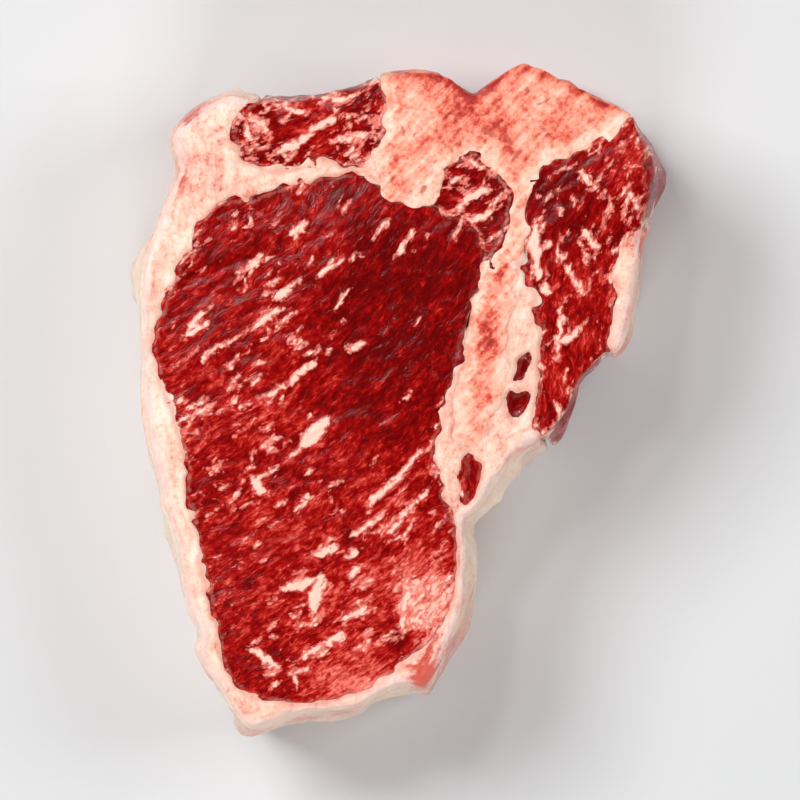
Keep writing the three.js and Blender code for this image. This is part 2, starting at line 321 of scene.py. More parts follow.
def carve(node, rounding, close, sink):
    """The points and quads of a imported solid, rebuilt on the fine grid, with its gaps closed."""
    corners, triangles = SOLIDS[node]
    near_x = (columns_x > corners[:, 0].min() - MARGIN) & (columns_x < corners[:, 0].max() + MARGIN)
    near_y = (columns_y > corners[:, 1].min() - MARGIN) & (columns_y < corners[:, 1].max() + MARGIN)
    xs, ys = columns_x[near_x], columns_y[near_y]
    columns = np.stack(np.meshgrid(xs, ys, indexing="ij"), axis=-1).reshape(-1, 2)
    sides = []
    for height in CUT_HEIGHTS:
        strayed = columns + wander(np.column_stack([columns, np.full(len(columns), height)]))
        lines = slice_lines(corners, triangles, height)
        sides.append(signed_distance(strayed, lines).reshape(len(xs), len(ys)))
    lean_in = RIM_LEAN_IN * (sides[-1] - sides[-2]) / (CUT_HEIGHTS[-1] - CUT_HEIGHTS[-2])
    heights = CUT_HEIGHTS + [levels[-1]]
    sides.append(sides[-1] + lean_in * (heights[-1] - heights[-2]))
    top = top_map[np.ix_(near_x, near_y)]
    sides = np.array(sides)
    lower = np.clip(np.searchsorted(heights, levels) - 1, 0, len(heights) - 2)
    share = np.clip((levels - np.array(heights)[lower]) / np.diff(heights)[lower], 0, 1)
    side = sides[lower] * (1 - share)[:, None, None] + sides[lower + 1] * share[:, None, None]
    outer = np.exp(-(outside_map[np.ix_(near_x, near_y)][:, :, None] / OUTER_BAND) ** 2)
    tuck = TUCK * np.clip((THICKNESS - levels) / DRIFT_DEPTH, 0, 1)
    side = np.moveaxis(side, 0, 2)
    # Past its own border a piece sinks, so that a firmer neighbour lies over it
    beyond = np.clip(side / SINK_BAND + 1, 0, 1)
    side = side - (close + (OUTER_CLOSE - close - tuck) * outer)
    reach = SEAM_ROUNDING + (rounding - SEAM_ROUNDING) * outer
    field = soft_max(side, levels - top[:, :, None] + sink * beyond, reach)
    field = soft_max(field, -levels[None, None, :] * np.ones_like(field), reach)
    return surface_net(field, (xs, ys, levels))


def build_mesh(name, points, quads):
    """A smooth-shaded object from points in mm."""
    mesh = bpy.data.meshes.new(name)
    mesh.from_pydata((points * MM).tolist(), [], quads.tolist())
    mesh.validate()
    mesh.shade_smooth()
    piece = bpy.data.objects.new(name, mesh)
    bpy.context.scene.collection.objects.link(piece)
    print(name, len(mesh.vertices), "points", 2 * len(quads), "triangles")
    return piece


# %% [markdown]
# ## The grain
# Muscle is a bundle of fibres, and its fat lies between the bundles, so flecks, fine lines and
# shine all run one way. Each piece gets coordinates in mm along and across its own grain, stored
# on its points. The materials then draw every pattern in those coordinates.

# %% Coordinates along the grain
def grain_of(points, grain):
    """Coordinates in mm along the fibres, across them and up, for fibres that curve a little."""
    turn = math.radians(grain["angle"])
    x, y = points[:, 0] - grain["middle"][0], points[:, 1] - grain["middle"][1]
    along = x * math.cos(turn) + y * math.sin(turn)
    across = y * math.cos(turn) - x * math.sin(turn)
    return np.column_stack([along, across - grain["bend"] * along * along / 2, points[:, 2]])


def grain_angle(spot, grain):
    """The direction of the fibres at one spot, in radians."""
    turn = math.radians(grain["angle"])
    x, y = spot[0] - grain["middle"][0], spot[1] - grain["middle"][1]
    return turn + math.atan(grain["bend"] * (x * math.cos(turn) + y * math.sin(turn)))


def patches(points, base, spots):
    """A value that rises or falls by `amount` over soft round spots (x, y, reach, amount) in mm."""
    value = np.full(len(points), float(base))
    for x, y, reach, amount in spots:
        away = ((points[:, 0] - x) ** 2 + (points[:, 1] - y) ** 2) / reach ** 2
        value += amount * np.exp(-away)
    return value


# %% [markdown]
# ## Flecks of fat
# The flecks that a step away still shows are drawn one by one: a bent spindle with a length, a
# width and the direction of the grain where it lies. A few large ones are listed, because they
# give this chop its face, and the rest are scattered where the meat is rich. What is kept on the
# points is the distance to the nearest spindle, which stays sharp when it is drawn.

# %% Scatter and measure flecks
FLECK_REACH = 1.5  # further away than this, the distance to a fleck isn't needed
FLECK_DEPTH = 3.0


def scatter(points, plan, seed):
    """Random flecks (x, y, angle, length, half width, bow) on a piece, more where it is rich."""
    rng = np.random.default_rng(seed)
    face = points[points[:, 2] > THICKNESS - 2.5]
    rich = np.clip(patches(face, *plan["richness"]), 0.02, 1.2) ** 1.4
    spots = face[rng.choice(len(face), plan["flecks"], p=rich / rich.sum())]
    made = []
    for x, y, _ in spots:
        angle = grain_angle((x, y), plan["grain"]) + rng.normal(0, plan["disorder"])
        length = rng.lognormal(math.log(plan["length"]), 0.45)
        made.append((x, y, angle, length, rng.uniform(0.02, 0.18), rng.normal(0, 0.12)))
    return made


def fleck_distance(points, flecks):
    """Distance in mm from each point to the edge of the nearest fleck, negative inside it."""
    stray = [
        0.26 * soft_noise(points, 1.0, seed) + 0.2 * soft_noise(points, 0.5, seed + 2)
        for seed in (21, 22)
    ]
    strayed = points[:, :2] + np.column_stack(stray)
    nearest = np.full(len(points), FLECK_REACH)
    for x, y, angle, length, width, bow in flecks:
        reach = length / 2 + FLECK_REACH
        near = np.flatnonzero((abs(strayed[:, 0] - x) < reach) & (abs(strayed[:, 1] - y) < reach))
        dx, dy = strayed[near, 0] - x, strayed[near, 1] - y
        along = (dx * math.cos(angle) + dy * math.sin(angle)) / (length / 2)
        across = dy * math.cos(angle) - dx * math.sin(angle)
        across = across - bow * along * along
        beyond = np.maximum(abs(along) - 1, 0) * length / 2
        girth = width * np.sqrt(np.clip(1 - along * along, 0, 1))
        nearest[near] = np.minimum(nearest[near], np.hypot(across, beyond) - girth)
    # Deeper down, some of them have come to an end
    depth = np.clip((THICKNESS - points[:, 2]) / FLECK_DEPTH, 0, 1)
    return nearest + depth * np.clip(1.2 * soft_noise(points, 3.2, 25) + 0.2, 0, 1)


def by_hand(strokes):
    """Flecks from listed strokes: start x, y, end x, y, half width and bow, in mm."""
    flecks = []
    for x0, y0, x1, y1, width, bow in strokes:
        middle = (x0 + x1) / 2, (y0 + y1) / 2
        angle = math.atan2(y1 - y0, x1 - x0)
        flecks.append((*middle, angle, math.hypot(x1 - x0, y1 - y0), width, bow))
    return flecks


# %% [markdown]
# ## What each piece is
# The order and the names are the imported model's. Lean pieces differ only in their grain, in how
# rich in fat they are and in how bright their red is. Each says how far it reaches into the gap
# round it: fat reaches furthest, and sinks there under the lean and the bone.

# %% The pieces
LEAN = dict(kind="lean", rounding=0.7, close=0.38, sink=0.0, disorder=0.25, length=1.4, slot="lean_meat")
FAT = dict(
    kind="fat", rounding=1.0, close=0.85, sink=0.16, slot="lamb_fat",
    flecks=0, richness=(0.5, []), strokes=[],
)
PIECES = {
    "loin_eye": LEAN | dict(
        name="eye_meat",
        grain=dict(middle=(-8, -5), angle=41, bend=0.0085),
        flecks=280,
        richness=(0.3, [
            (-20, 8, 9, 0.12), (-20, -8, 8, 0.18), (3, 14, 11, -0.28), (-5, 1, 7, -0.18),
            (-9, -27, 9, 0.28), (-1, -13, 6, 0.18), (3.4, -23.5, 4.4, 0.95), (-12, 22, 6, 0.04),
        ]),
        redness=(0.39, [
            (-21, 0, 11, 0.14), (3, 13, 12, -0.26), (-16, -22, 10, 0.11), (-5, -33, 5.0, 0.55),
            (3, -23, 6, 0.4), (-1, -12, 7, 0.16), (-4, 2, 8, -0.08), (-0.2, -27.7, 1.6, -0.5),
        ]),
        strokes=[
            (-21.5, 5.8, -17.0, 8.2, 0.24, 0.2), (-17.4, 7.9, -13.7, 10.9, 0.3, -0.2),
            (-16.5, -0.2, -13.2, 1.6, 0.26, 0.2), (-13.5, 1.4, -9.9, 4.5, 0.3, -0.3),
            (-11.6, -5.6, -8.1, -2.0, 0.72, 0.15), (-13.6, -7.4, -11.3, -5.4, 0.3, 0),
            (-17.2, -9.0, -15.9, -11.0, 0.55, 0), (-16.6, -9.6, -13.9, -7.4, 0.28, 0),
            (-22.6, 10.3, -24.6, 8.2, 0.4, 0.1), (-22.0, 9.0, -25.0, 7.4, 0.34, 0),
            (-6.3, 5.6, -3.8, 6.7, 0.42, 0), (-13.6, -22.0, -9.8, -20.8, 0.52, 0.2),
            (-9.1, -20.0, -10.3, -25.1, 0.7, 0.2), (-12.4, -30.2, -8.4, -28.2, 0.34, -0.1),
            (-8.8, -28.5, -6.2, -26.9, 0.62, 0.1), (-12.4, -31.0, -11.8, -33.6, 0.3, 0),
            (-7.2, -25.7, -3.5, -23.8, 0.4, 0.2), (-17.4, -28.7, -13.8, -31.2, 0.4, -0.2),
            (-10.2, -17.9, -7.0, -17.0, 0.42, 0.1), (-6.6, -18.6, -5.0, -17.2, 0.3, 0),
            (-5.9, -20.6, -4.6, -19.4, 0.3, 0), (0.3, -26.8, 0.9, -19.8, 0.3, 0.3),
            (0.9, -26.3, 5.2, -21.8, 0.2, 0.2), (1.9, -26.5, 5.9, -22.8, 0.18, 0.2),
            (0.8, -24.6, 4.4, -20.6, 0.2, 0.2), (1.2, -22.6, 4.6, -19.0, 0.18, 0.2),
            (-12.8, 19.1, -10.7, 20.8, 0.36, 0), (-3.2, 18.6, -0.9, 21.1, 0.24, 0),
            (-0.5, 16.4, 1.8, 19.9, 0.34, 0.1), (-9.6, 14.1, -6.5, 16.6, 0.24, 0),
            (-18.4, 14.6, -15.8, 16.8, 0.34, 0.2),
            (-14.6, 11.6, -12.2, 13.4, 0.3, 0), (-3.8, -12.6, 2.6, -6.0, 0.3, 0.3),
            (-5.8, -15.8, -1.6, -13.0, 0.34, 0), (-1.6, -15.4, 3.4, -10.2, 0.32, -0.2),
        ],
    ),
    "fillet": LEAN | dict(
        name="fillet_meat",
        grain=dict(middle=(19, 14), angle=74, bend=-0.016),
        disorder=0.4,
        flecks=120,
        richness=(0.28, [(25, 21, 5, 0.3), (20, 12, 5, -0.1), (16, 24, 4, -0.1), (17, 4, 5, 0.1)]),
        redness=(0.35, [(17, 23, 5, -0.18), (22, 13, 5, 0.14), (27, 29, 4, 0.22), (18, 3, 5, 0.08)]),
        cover=0.15,
        strokes=[
            (15.4, 20.8, 15.9, 14.0, 0.62, 0.1), (16.4, 17.6, 17.6, 18.4, 0.42, 0),
            (16.2, 13.4, 17.4, 12.2, 0.42, 0), (19.0, 15.6, 21.2, 12.0, 0.34, 0.2),
            (18.6, 10.6, 18.0, 4.4, 0.3, 0.1), (18.2, 6.2, 22.0, 9.4, 0.34, 0.2),
            (21.2, 26.4, 22.4, 24.6, 0.3, 0), (24.6, 16.8, 26.8, 19.4, 0.4, 0.2),
            (21.0, 19.8, 22.6, 17.4, 0.36, 0.3), (26.4, 24.4, 27.6, 21.8, 0.36, 0.3),
        ],
    ),
    "flap_of_fat": FAT | dict(
        name="fillet_fat",
        grain=dict(middle=(27, 12), angle=84, bend=0),
        redness=(0.4, [(28, 19, 3, 0.2), (25.5, 6, 3, 0.15)]),
    ),
    "back_strip": LEAN | dict(
        name="back_meat",
        grain=dict(middle=(-10, 31), angle=28, bend=0.02),
        disorder=0.6,
        flecks=64,
        richness=(0.56, [(-16, 30, 3, 0.3), (-4, 30, 4, 0.25), (-11, 31, 3, -0.3)]),
        redness=(0.3, [(-10, 34, 4, 0.2)]),
        strokes=[
            (-18.2, 32.0, -17.0, 29.4, 0.4, 0.5), (-17.4, 33.4, -14.8, 30.6, 0.34, -0.3),
            (-14.4, 28.4, -9.6, 31.0, 0.42, 0.2), (-10.4, 31.2, -7.2, 32.6, 0.4, 0),
            (-9.0, 29.6, -3.6, 30.6, 0.46, 0.3), (-7.8, 34.4, -4.4, 35.6, 0.36, 0),
            (-6.4, 28.0, -5.0, 29.2, 0.34, 0.5), (-13.4, 34.0, -10.4, 33.0, 0.3, 0.3),
        ],
    ),
    "notch_muscle": LEAN | dict(
        name="notch_meat",
        grain=dict(middle=(8, 23), angle=24, bend=0.03),
        disorder=0.6,
        flecks=34,
        richness=(0.54, [(7, 25, 3, 0.2)]),
        redness=(0.24, []),
        strokes=[
            (5.0, 24.4, 7.6, 26.4, 0.34, -0.4), (6.2, 22.4, 10.4, 25.0, 0.4, -0.6),
            (8.0, 20.6, 11.2, 21.8, 0.34, 0.4), (10.0, 18.0, 11.8, 19.6, 0.34, 0),
            (9.8, 26.8, 11.2, 25.6, 0.26, 0),
        ],
    ),
    "flank_sliver": LEAN | dict(
        name="sliver_meat",
        slot="dark_lean",
        grain=dict(middle=(8, -9), angle=85, bend=0),
        flecks=3,
        richness=(0.2, []),
        redness=(0.34, []),
        strokes=[],
    ),
    "lower_nodule": LEAN | dict(
        name="lower_nodule_meat",
        slot="dark_lean",
        grain=dict(middle=(13, 0), angle=50, bend=0),
        flecks=2,
        richness=(0.1, []),
        redness=(0.12, []),
        strokes=[],
    ),
    "upper_nodule": LEAN | dict(
        name="upper_nodule_meat",
        slot="dark_lean",
        grain=dict(middle=(14, 4), angle=70, bend=0),
        flecks=2,
        richness=(0.1, []),
        redness=(0.1, []),
        strokes=[],
    ),
    "t_bone": dict(
        name="sawn_bone",
        kind="bone",
        rounding=0.3,
        close=0.5,
        sink=0.08,
        slot="sawn_bone",
        grain=dict(middle=(8, 28), angle=46, bend=0),
        disorder=0.4,
        length=1.0,
        flecks=14,
        richness=(0.55, [(9.5, 2, 3, 0.3), (4, 33, 5, 0.2), (18, 33, 5, 0.2), (13.2, 16, 4, -0.4)]),
        redness=(0.18, [
            (8.2, 35.0, 2.2, 0.34), (5.2, 36.8, 1.6, 0.2), (12.4, 31.0, 1.5, 0.3), (10.6, 6.0, 2.2, 0.16),
            (10.8, 0.5, 2.0, 0.2), (12.5, 36.5, 2.0, 0.12), (-0.8, 36.0, 2.0, 0.1),
        ]),
        strokes=[
            (10.9, 32.4, 12.9, 29.4, 0.32, 0.3), (13.0, 27.6, 13.9, 28.9, 0.2, 0),
            (18.3, 34.6, 18.7, 33.3, 0.16, 0), (16.2, 31.4, 16.9, 31.0, 0.18, 0),
            (-0.1, 31.9, 0.5, 30.5, 0.2, 0), (2.2, 24.1, 3.3, 24.9, 0.3, 0),
            (9.4, 31.6, 11.0, 30.2, 0.2, 0.2), (15.8, 34.0, 17.4, 35.0, 0.14, 0.2),
            (4.6, 30.4, 5.6, 28.6, 0.14, 0.1), (20.6, 31.6, 21.8, 31.0, 0.12, 0),
        ],
    ),
    "fat": FAT | dict(
        name="fat_cover",
        grain=dict(middle=(-20, 0), angle=84, bend=0.004),
        redness=(0.3, [
            (-25, 33.8, 2.2, 0.6), (-22, 28, 6, 0.1), (2.9, -32.4, 1.7, 0.7), (4.2, -29, 3.4, 0.4),
            (7, -14, 3, 0.15), (9.5, -2, 3, 0.1), (-29, 0, 8, -0.1), (-26, -20, 9, -0.1),
        ]),
    ),
}

# %% [markdown]
# ## Relief
# A saw leaves lean meat slightly quilted, because the bundles swell and the fat between them
# doesn't. Fat stays smoother, and bone keeps fine parallel marks of the blade. The relief moves
# the points themselves, by a tenth of a millimetre or two on the cut faces and by more on the
# outside, which no blade has made flat. Only what is finer is left to bump.

# %% Move the points
def point_normals(points, quads):
    """A unit normal at each point, from the diagonals of the quads round it."""
    corner = points[quads]
    face = np.cross(corner[:, 2] - corner[:, 0], corner[:, 3] - corner[:, 1])
    total = np.zeros_like(points)
    for column in quads.T:
        for k in range(3):
            total[:, k] += np.bincount(column, face[:, k], len(points))
    return total / np.linalg.norm(total, axis=1, keepdims=True)


def lean_relief(points, grain, fleck, level):
    """Quilting along the grain, with firm flecks standing a little proud."""
    bundles = 0.07 * soft_noise(grain, (2.4, 1.1, 6.0), 31) + 0.05 * soft_noise(grain, (1.1, 0.55, 3.0), 32)
    return 0.1 * soft_noise(points, 6.0, 33) + bundles + 0.05 * np.clip(-fleck / 0.2, -1, 1)


def fat_relief(points, grain, fleck, level):
    """Nearly flat where it is cut, and lumpy under the outer skin."""
    lumps = 0.3 * soft_noise(points, 3.2, 35) + 0.16 * soft_noise(points, (1.3, 1.3, 2.2), 40)
    lumps *= (1 - level) * np.clip((THICKNESS - points[:, 2]) / LUMPY_BELOW, 0.15, 1)
    return 0.12 * soft_noise(points, 4.5, 34) + 0.05 * soft_noise(points, 1.4, 36) + lumps


def bone_relief(points, grain, fleck, level):
    """Blade marks on the sawn faces, pits, and a rough outside."""
    marks = 0.022 * np.sin(2 * np.pi * (grain[:, 1] + 0.3 * soft_noise(points, 5.0, 37)) / BLADE_MARK)
    rough = 0.2 * soft_noise(points, 2.2, 38) * (1 - level)
    return marks * level + rough - 0.14 * np.clip(-fleck / 0.15, 0, 1) + 0.05 * soft_noise(points, 0.9, 39)


LUMPY_BELOW = 4.0  # mm under the cut, which trims the lumps off
BLADE_MARK = 1.1
RELIEF = {"lean": lean_relief, "fat": fat_relief, "bone": bone_relief}

# %% [markdown]
# ## Finishes
# All three finishes are living tissue under a film of meat juice. Light goes in, spreads and
# comes out red, so they need subsurface scattering, and the film gives the small wet glints. A
# water film has an IOR of 1.33 and tissue about 1.38, so mirrored light is weak.

# %% Add nodes
def linear(hex_colour):
    """An sRGB hex colour as Blender's linear red, green, blue and alpha."""
    channels = [int(hex_colour[i:i + 2], 16) / 255 for i in (1, 3, 5)]
    return [c / 12.92 if c <= 0.04045 else ((c + 0.055) / 1.055) ** 2.4 for c in channels] + [1.0]


def wire(tree, node, inputs):
    """Gives inputs a value, a socket, or the first live output of another node."""
    for name, value in inputs.items():
        live = [s for s in node.inputs if s.enabled and s.name == name]
        socket = node.inputs[name] if isinstance(name, int) else live[0]
        if isinstance(value, bpy.types.Node):
            value = next(s for s in value.outputs if s.enabled)
        if isinstance(value, bpy.types.NodeSocket):
            tree.links.new(value, socket)
        elif isinstance(value, str):
            socket.default_value = linear(value)
        else:
            socket.default_value = value


def add(tree, kind, inputs=(), stops=(), **settings):
    """Adds a node with its settings, its inputs and, for a ramp, its colour stops."""
    node = tree.nodes.new("ShaderNode" + kind)
    for name, value in settings.items():
        setattr(node, name, value)
    wire(tree, node, dict(inputs))
    for number, (place, colour) in enumerate(stops):
        elements = node.color_ramp.elements
        stop = elements[number] if number < 2 else elements.new(place)
        stop.position = place
        stop.color = linear(colour)
    return node


def new_finish(name):
    """An empty finish: the material, a way to add its nodes, its shader and the stored values."""
    material = bpy.data.materials.new(name)
    material.use_nodes = True
    tree = material.node_tree
    put = functools.partial(add, tree)
    stored = {}
    for key in ("grain", "fleck", "seam", "skin", "wall", "richness", "redness", "cover"):
        node = put("Attribute", attribute_name=key)
        stored[key] = node.outputs["Vector" if key == "grain" else "Fac"]
    finish = functools.partial(wire, tree, tree.nodes["Principled BSDF"])
    return material, put, finish, stored


def sways(put, grain, reach, feature):
    """Grain coordinates that sway by up to half the reach, over features of a size in mm."""
    noise = put("TexNoise", {"Vector": grain, "Scale": 1 / feature, "Detail": 2.0})
    centred = put("VectorMath", {0: noise.outputs["Color"], 1: (0.5, 0.5, 0.5)}, operation="SUBTRACT")
    moved = {0: centred, 1: (reach, reach, reach), 2: grain}
    return put("VectorMath", moved, operation="MULTIPLY_ADD").outputs["Vector"]


def per_mm(put, grain, size):
    """Coordinates in which a pattern of cell size 1 gets a real size along, across and up."""
    scale = tuple(1 / s for s in size)
    return put("VectorMath", {0: grain, 1: scale}, operation="MULTIPLY").outputs["Vector"]


def stretched(put, place, size, detail):
    """Noise with features of a real size along, across and up."""
    scaled = per_mm(put, place, size)
    return put("TexNoise", {"Vector": scaled, "Scale": 1.0, "Detail": detail, "Roughness": 0.6})


def rise(put, value, start, end, most=1.0):
    """A smooth rise from 0, where the value is at its start, to the most at its end."""
    span = {"Value": value, "From Min": start, "From Max": end, "To Max": most}
    return put("MapRange", span, interpolation_type="SMOOTHSTEP")


COLOURS = dict(data_type="RGBA")
TIMES_PLUS = dict(operation="MULTIPLY_ADD")

# %% [markdown]
# ### Raw lean
# Raw lamb is dark crimson where the cut is fresh and close-grained, and brighter where air has
# reached it. Its fibres lie in bundles, so the red comes in short streaks that all lean one way,
# and never in a flat tone. Fat grows between the bundles as ragged specks, dense where the meat
# is rich, and gathers round the large flecks. Stretched noise draws streaks, and the same noise
# with its peaks cut off draws specks with the torn edges that real marbling has.

# %% Raw lean
STRAND = (2.3, 0.85, 6.0)  # mm along, across and up
THREAD = (0.75, 0.28, 3.0)
SPECK = (1.9, 0.8, 5.0)
BEAD = 0.7
CLOUD = 7.0
MEMBRANE = (2.2, 2.2, 5.0)
LEAN_TONES = [
    (0.0, "#640001"), (1.0, "#F27A6C"), (0.22, "#820101"), (0.42, "#9C0806"), (0.58, "#B82019"),
    (0.72, "#CC4036"), (0.86, "#DF5E52"),
]


def raw_lean():
    """Moist raw lean: streaks of red along the grain, and ragged specks of fat."""
    material, put, finish, stored = new_finish("raw lean")
    grain = sways(put, stored["grain"], 1.6, 4.5)
    grain = sways(put, grain, 0.45, 0.9)
    further = put("VectorMath", {0: grain, 1: (31.0, 17.0, 5.0)}, operation="ADD").outputs["Vector"]
    strands = stretched(put, grain, STRAND, 4.0)
    threads = stretched(put, grain, THREAD, 3.0)
    specks = stretched(put, further, SPECK, 4.0)
    beads = put("TexNoise", {"Vector": further, "Scale": 1 / BEAD, "Detail": 2.0})
    clouds = put("TexNoise", {"Vector": stored["grain"], "Scale": 1 / CLOUD, "Detail": 4.0, "Roughness": 0.6})

    # How bright the red is: by place, by strand and by thread
    tone = put("Math", {0: clouds, 1: 0.8, 2: stored["redness"]}, **TIMES_PLUS)
    tone = put("Math", {0: strands, 1: 1.4, 2: tone}, **TIMES_PLUS)
    tone = put("Math", {0: threads, 1: 1.3, 2: tone}, **TIMES_PLUS)
    tone = put("Math", {0: beads, 1: 0.6, 2: tone}, **TIMES_PLUS)
    tone = put("Math", {0: tone, 1: 2.12}, operation="SUBTRACT")
    lean = put("ValToRGB", {"Fac": tone}, LEAN_TONES)

    # Specks of fat, more of them where the meat is rich and close to a large fleck
    near = rise(put, stored["fleck"], 1.3, 0.1, 0.09)
    fatty = put("Math", {0: stored["richness"], 1: 0.3, 2: specks}, **TIMES_PLUS)
    fatty = put("Math", {0: beads, 1: 0.4, 2: fatty}, **TIMES_PLUS)
    fatty = put("Math", {0: threads, 1: 0.2, 2: fatty}, **TIMES_PLUS)
    fatty = put("Math", {0: fatty, 1: near}, operation="ADD")
    pink = rise(put, fatty, 1.1, 1.19, 0.85)
    white = rise(put, fatty, 1.22, 1.3)
    specked = put("Mix", {"Factor": pink, "A": lean, "B": "#EE7E70"}, **COLOURS)
    specked = put("Mix", {"Factor": white, "A": specked, "B": "#FBBCA9"}, **COLOURS)

    # The large flecks, torn at their edges
    edge = put("Math", {0: threads, 1: 0.8, 2: stored["fleck"]}, **TIMES_PLUS)
    edge = put("Math", {0: beads, 1: 0.9, 2: edge}, **TIMES_PLUS)
    soft = rise(put, edge, 1.1, 0.86, 0.85)
    core = rise(put, edge, 0.9, 0.66)
    flecked = put("Mix", {"Factor": soft, "A": specked, "B": "#EC8274"}, **COLOURS)
    cored = put("Mix", {"Factor": core, "A": flecked, "B": "#FFD0BD"}, **COLOURS)

    # The silverskin round a rich muscle shows as a pale line that comes and goes
    rind = put("Math", {0: beads, 1: 1.1, 2: stored["seam"]}, **TIMES_PLUS)
    rind = rise(put, rind, 0.85, 0.45, 0.8)
    rind = put("Math", {0: rind, 1: stored["richness"]}, operation="MULTIPLY", use_clamp=True)
    edged = put("Mix", {"Factor": rind, "A": cored, "B": "#EFA08F"}, **COLOURS)

    # On the outside a membrane and thin fat cover the lean in torn patches
    wall = rise(put, stored["wall"], 0.5, 0.85)
    patchy = stretched(put, grain, MEMBRANE, 5.0)
    nearing = {"Value": stored["seam"], "From Min": 2.4, "From Max": 0.0, "To Max": 0.32}
    close = put("MapRange", nearing)
    covering = put("Math", {0: stored["cover"], 1: 0.3, 2: patchy}, **TIMES_PLUS)
    covering = put("Math", {0: covering, 1: close}, operation="ADD")
    veil = rise(put, covering, 0.56, 0.7, 0.4)
    thick = rise(put, covering, 0.72, 0.8, 0.95)
    veil = put("Math", {0: veil, 1: wall}, operation="MULTIPLY")
    thick = put("Math", {0: thick, 1: wall}, operation="MULTIPLY")
    veiled = put("Mix", {"Factor": veil, "A": edged, "B": "#CC8078"}, **COLOURS)
    colour = put("Mix", {"Factor": thick, "A": veiled, "B": "#F8D3BF"}, **COLOURS)

    # The juice lies smoother than the fibres under it, so the film has a gentler relief
    height = put("Math", {0: strands, 1: 1.6, 2: threads}, **TIMES_PLUS)
    height = put("Math", {0: soft, 1: 0.4, 2: height}, **TIMES_PLUS)
    height = put("Math", {0: thick, 1: 1.6, 2: height}, **TIMES_PLUS)
    bump = put("Bump", {"Height": height, "Strength": 0.9, "Distance": 0.16 * MM})
    film_bump = put("Bump", {"Height": height, "Strength": 0.32, "Distance": 0.16 * MM})
    finish({
        "Base Color": colour, "Normal": bump, "Roughness": 0.5, "IOR": 1.36, "Specular IOR Level": 0.05,
        "Subsurface Weight": 0.15, "Subsurface Radius": (1.0, 0.25, 0.15), "Subsurface Scale": 0.6 * MM,
        "Coat Weight": 0.5, "Coat Roughness": 0.09, "Coat IOR": 1.33, "Coat Normal": film_bump,
    })
    return material


# %% [markdown]
# ### Raw fat
# Lamb fat is firm and waxy, creamy where it is cut and a cooler white to the outside. It is laid
# down in layers that follow the outline, and each layer is made of grains and lobules that just
# show. The fat next to lean takes some of its juice. A papery skin covers the outside of the
# chop, creamy where it is clear and pink where it is flushed.

# %% Raw fat
LOBULE = (3.4, 1.7, 2.6)
LAYER = (7.0, 0.8, 7.0)
CRUMB = 0.5
GRAIN = 1.1
CREASE = (1.2, 1.2, 3.6)
FLUSH = 9.0
FAT_TONES = [
    (0.0, "#FFEBDB"), (1.0, "#D2584A"), (0.3, "#FBDCC8"), (0.52, "#F7C9B3"), (0.72, "#F0B09C"),
    (0.88, "#E58A78"),
]


